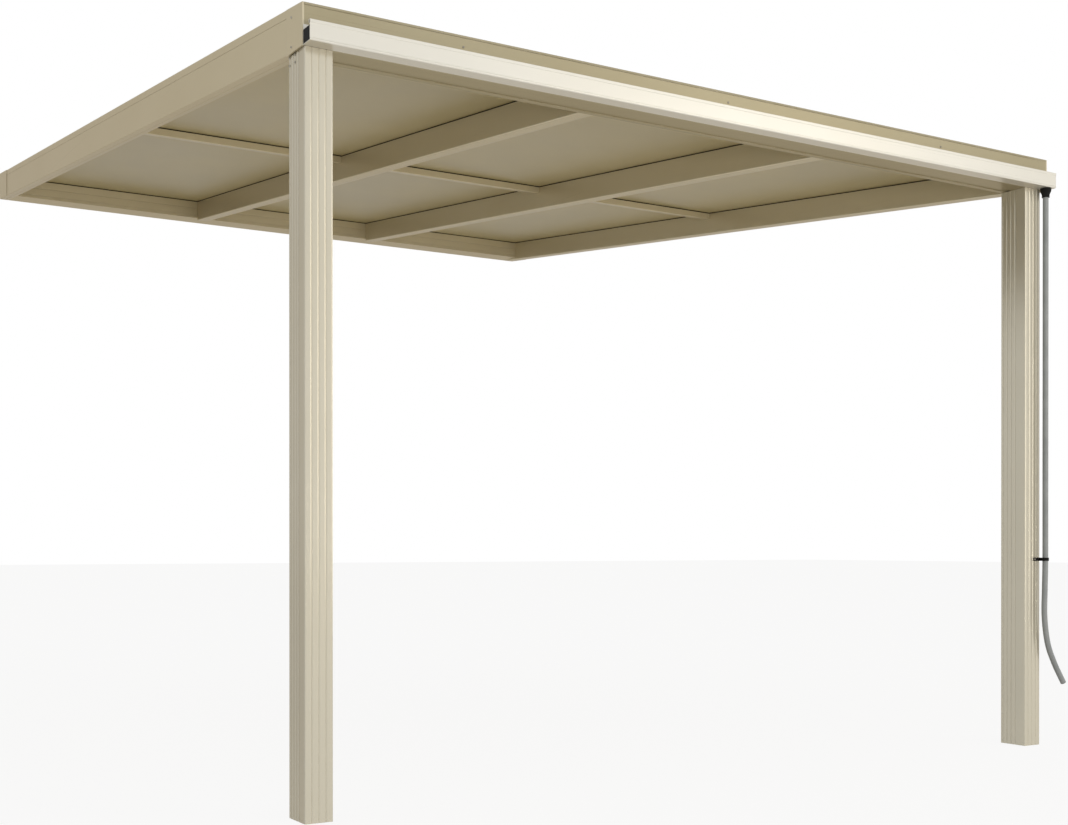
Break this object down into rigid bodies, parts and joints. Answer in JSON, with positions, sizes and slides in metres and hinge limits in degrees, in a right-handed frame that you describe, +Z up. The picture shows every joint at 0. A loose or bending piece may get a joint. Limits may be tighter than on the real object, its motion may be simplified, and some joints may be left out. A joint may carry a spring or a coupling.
{
  "type": "attached patio cover",
  "caption": "Lean-to patio roof: ribbed posts carry a front beam with a gutter, and rafters hold tinted sheets between the beam and a ledger that fixes to a house wall.",
  "frame": {"origin": "centre of the wall ledger's flat back, on the wall's surface", "axes": "+Y into the wall, +X to the right seen from in front of the cover, +Z up; the ground is at z = -2.917"},
  "size_m": [3.5508, 4.492, 2.9892],
  "materials": {
    "champagne_aluminium": "satin champagne anodised",
    "bronze_sheet": "glossy bronze tinted polycarbonate",
    "black_gasket": "matt",
    "black_plastic": "fine moulded",
    "grey_hose": "satin flexible hose"
  },
  "bodies": {
    "root": {"post_left": "champagne_aluminium", "post_right": "champagne_aluminium", "front_beam": "champagne_aluminium", "beam_end_cap_left": "champagne_aluminium", "beam_end_cap_right": "champagne_aluminium", "gutter": "champagne_aluminium", "rafter_left": "champagne_aluminium", "rafter_inner_1": "champagne_aluminium", "rafter_inner_2": "champagne_aluminium", "rafter_right": "champagne_aluminium", "cap_left": "champagne_aluminium", "cap_inner_1": "champagne_aluminium", "cap_inner_2": "champagne_aluminium", "cap_right": "champagne_aluminium", "crossbar_1": "champagne_aluminium", "crossbar_2": "champagne_aluminium", "crossbar_3": "champagne_aluminium", "crossbar_cap_1": "champagne_aluminium", "crossbar_cap_2": "champagne_aluminium", "crossbar_cap_3": "champagne_aluminium", "wall_ledger": "champagne_aluminium", "wall_end_cover_left": "champagne_aluminium", "wall_end_cover_right": "champagne_aluminium", "panel_front_1": "bronze_sheet", "panel_front_2": "bronze_sheet", "panel_front_3": "bronze_sheet", "panel_back_1": "bronze_sheet", "panel_back_2": "bronze_sheet", "panel_back_3": "bronze_sheet", "gasket_front_1": "black_gasket", "gasket_front_2": "black_gasket", "gasket_front_3": "black_gasket", "gasket_back_1": "black_gasket", "gasket_back_2": "black_gasket", "gasket_back_3": "black_gasket", "gutter_plug_left": "black_plastic", "gutter_plug_right": "black_plastic", "gutter_outlet": "black_plastic", "hose_clip": "black_plastic", "drain_hose": "grey_hose"}
  },
  "joints": []
}
